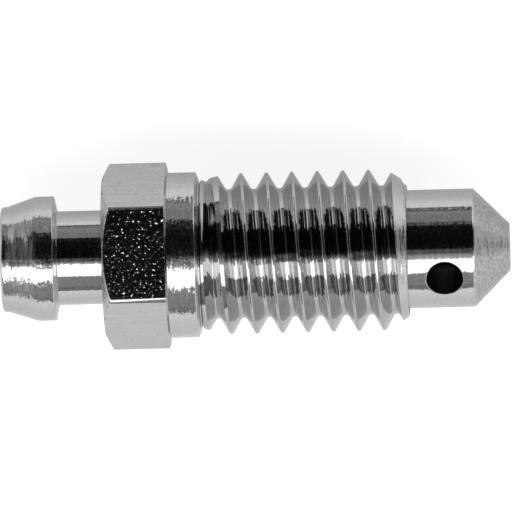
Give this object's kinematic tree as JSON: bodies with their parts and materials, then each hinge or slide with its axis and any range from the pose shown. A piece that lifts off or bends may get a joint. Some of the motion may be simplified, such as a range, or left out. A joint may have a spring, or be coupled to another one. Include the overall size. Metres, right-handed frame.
{
  "type": "bleeder screw",
  "caption": "Bleeder screw with a barbed hose nipple, a spanner hexagon and collar, a right-hand metric thread, a cross-drilled tip and a conical seat.",
  "frame": {"origin": "on the screw's axis at the face of the collar, where the threaded shank begins", "axes": "+X along the axis from the nipple towards the conical seat; +Z is the outward normal of one flat of the hexagon, and the screw lies on the opposite flat"},
  "size_m": [0.0249, 0.0092, 0.0082],
  "materials": {
    "zinc_plated_steel": "turned, rolled and bright zinc plated"
  },
  "bodies": {
    "root": {"bleeder_screw": "zinc_plated_steel"}
  },
  "joints": []
}
